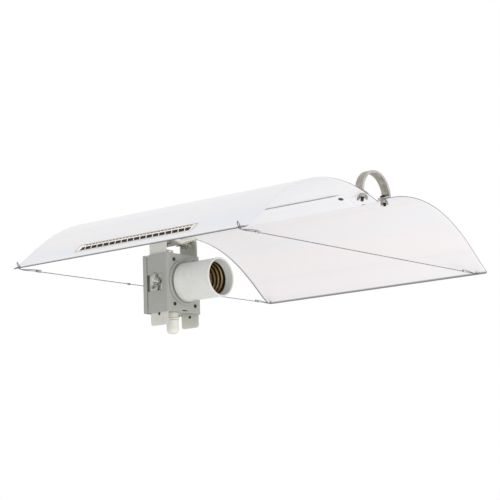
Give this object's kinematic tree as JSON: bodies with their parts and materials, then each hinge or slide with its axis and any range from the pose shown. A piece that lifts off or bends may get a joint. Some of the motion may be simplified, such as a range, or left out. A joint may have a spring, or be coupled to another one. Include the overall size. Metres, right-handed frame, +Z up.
{
  "type": "grow lamp",
  "caption": "Hanging grow lamp: bowed white sheet reflector held by two taut wires, with a sliding lampholder for a large screw-cap lamp.",
  "frame": {"origin": "the hanging point: midway between the two hanging loops, at the height of the undersides of their crowns", "axes": "+X along the ridge towards the lamp's tip, +Y across the wings, +Z up"},
  "size_m": [0.4454, 0.6022, 0.1975],
  "materials": {
    "white_enamel_sheet": "gloss white stove enamel on thin aluminium sheet",
    "label_film": "satin printed film, plain pattern with no lettering",
    "galvanised_steel": "dull galvanised",
    "zinc_plated_steel": "bright zinc plate",
    "blackened_steel": "blackened steel",
    "steel_wire": "dark stranded stainless wire",
    "grey_powder_coat": "satin warm grey powder coat",
    "cream_powder_coat": "satin pale cream grey powder coat",
    "black_plastic": "satin moulded",
    "black_rubber": "matte",
    "cream_nylon": "satin moulded nylon",
    "porcelain": "glazed off-white porcelain",
    "brass_shell": "rolled brass, slightly tarnished",
    "black_lead": "silicone sleeving",
    "pale_lead": "silicone sleeving"
  },
  "bodies": {
    "reflector": {"reflector_sheet": "white_enamel_sheet", "ridge_spine": "white_enamel_sheet", "rating_label": "label_film", "lamp_bracket": "cream_powder_coat", "saddle_pad": "cream_nylon", "wire_stop": "zinc_plated_steel", "bow_wire_1": "steel_wire", "hanger_loop_1": "galvanised_steel", "bow_wire_2": "steel_wire", "hanger_loop_2": "galvanised_steel", "wire_ferrule_1_right": "zinc_plated_steel", "spine_rivet_1_right": "black_plastic", "loop_screw_1_right": "blackened_steel", "wire_ferrule_2_right": "zinc_plated_steel", "spine_rivet_2_right": "black_plastic", "loop_screw_2_right": "blackened_steel", "saddle_bolt_right": "zinc_plated_steel", "wire_ferrule_1_left": "zinc_plated_steel", "spine_rivet_1_left": "black_plastic", "loop_screw_1_left": "blackened_steel", "wire_ferrule_2_left": "zinc_plated_steel", "spine_rivet_2_left": "black_plastic", "loop_screw_2_left": "blackened_steel", "saddle_bolt_left": "zinc_plated_steel"},
    "carriage": {"front_cover": "grey_powder_coat", "housing_box": "grey_powder_coat", "rear_cover": "grey_powder_coat", "rear_screw_top": "zinc_plated_steel", "rear_screw_bottom": "zinc_plated_steel", "socket_flange": "grey_powder_coat", "porcelain_socket": "porcelain", "screw_shell": "brass_shell", "gland_body": "cream_nylon", "gland_locknut": "cream_nylon", "gland_seal": "black_rubber", "terminal_block": "porcelain", "lead_live": "black_lead", "lead_neutral": "pale_lead", "clamp_bolt_right": "zinc_plated_steel", "clamp_washer_right": "zinc_plated_steel", "socket_screw_right": "zinc_plated_steel", "terminal_screw_right": "brass_shell", "face_screw_top_right": "blackened_steel", "face_screw_bottom_right": "blackened_steel", "clamp_bolt_left": "zinc_plated_steel", "clamp_washer_left": "zinc_plated_steel", "socket_screw_left": "zinc_plated_steel", "terminal_screw_left": "brass_shell", "face_screw_top_left": "blackened_steel", "face_screw_bottom_left": "blackened_steel"},
    "contact": {"centre_contact": "brass_shell"},
    "dome_nut": {"gland_dome_nut": "cream_nylon"},
    "clamp_nut_right": {"clamp_wing_nut_right": "zinc_plated_steel"},
    "saddle_nut_right": {"saddle_wing_nut_right": "galvanised_steel"},
    "loop_nut_1_right": {"loop_wing_nut_1_right": "galvanised_steel"},
    "loop_nut_2_right": {"loop_wing_nut_2_right": "galvanised_steel"},
    "clamp_nut_left": {"clamp_wing_nut_left": "zinc_plated_steel"},
    "saddle_nut_left": {"saddle_wing_nut_left": "galvanised_steel"},
    "loop_nut_1_left": {"loop_wing_nut_1_left": "galvanised_steel"},
    "loop_nut_2_left": {"loop_wing_nut_2_left": "galvanised_steel"}
  },
  "joints": [
    {"name": "carriage_slide", "type": "slide", "parent": "reflector", "child": "carriage", "axis": [0, 0, 1], "range_m": [-0.02, 0.003]},
    {"name": "contact_press", "type": "slide", "parent": "carriage", "child": "contact", "axis": [-1, 0, 0], "range_m": [0, 0.002], "stiffness_N_per_m": 600, "springref_m": -0.002},
    {"name": "gland_dome_turn", "type": "hinge", "parent": "carriage", "child": "dome_nut", "pos_m": [-0.1795, 0, -0.182], "axis": [0, 0, -1], "continuous": true},
    {"name": "clamp_nut_turn_right", "type": "hinge", "parent": "carriage", "child": "clamp_nut_right", "pos_m": [-0.1735, -0.045, -0.114], "axis": [0, -1, 0], "continuous": true},
    {"name": "saddle_nut_turn_right", "type": "hinge", "parent": "reflector", "child": "saddle_nut_right", "pos_m": [-0.1675, -0.018, -0.03614], "axis": [0, -0.2928, -0.9562], "continuous": true},
    {"name": "loop_nut_turn_1_right", "type": "hinge", "parent": "reflector", "child": "loop_nut_1_right", "pos_m": [-0.2142, -0.026, -0.0338], "axis": [0, -0.2683, -0.9633], "continuous": true},
    {"name": "loop_nut_turn_2_right", "type": "hinge", "parent": "reflector", "child": "loop_nut_2_right", "pos_m": [0.2142, -0.026, -0.0338], "axis": [0, -0.2683, -0.9633], "continuous": true},
    {"name": "clamp_nut_turn_left", "type": "hinge", "parent": "carriage", "child": "clamp_nut_left", "pos_m": [-0.1735, 0.045, -0.114], "axis": [0, 1, 0], "continuous": true},
    {"name": "saddle_nut_turn_left", "type": "hinge", "parent": "reflector", "child": "saddle_nut_left", "pos_m": [-0.1675, 0.018, -0.03614], "axis": [0, 0.2928, -0.9562], "continuous": true},
    {"name": "loop_nut_turn_1_left", "type": "hinge", "parent": "reflector", "child": "loop_nut_1_left", "pos_m": [-0.2142, 0.026, -0.0338], "axis": [0, 0.2683, -0.9633], "continuous": true},
    {"name": "loop_nut_turn_2_left", "type": "hinge", "parent": "reflector", "child": "loop_nut_2_left", "pos_m": [0.2142, 0.026, -0.0338], "axis": [0, 0.2683, -0.9633], "continuous": true}
  ]
}
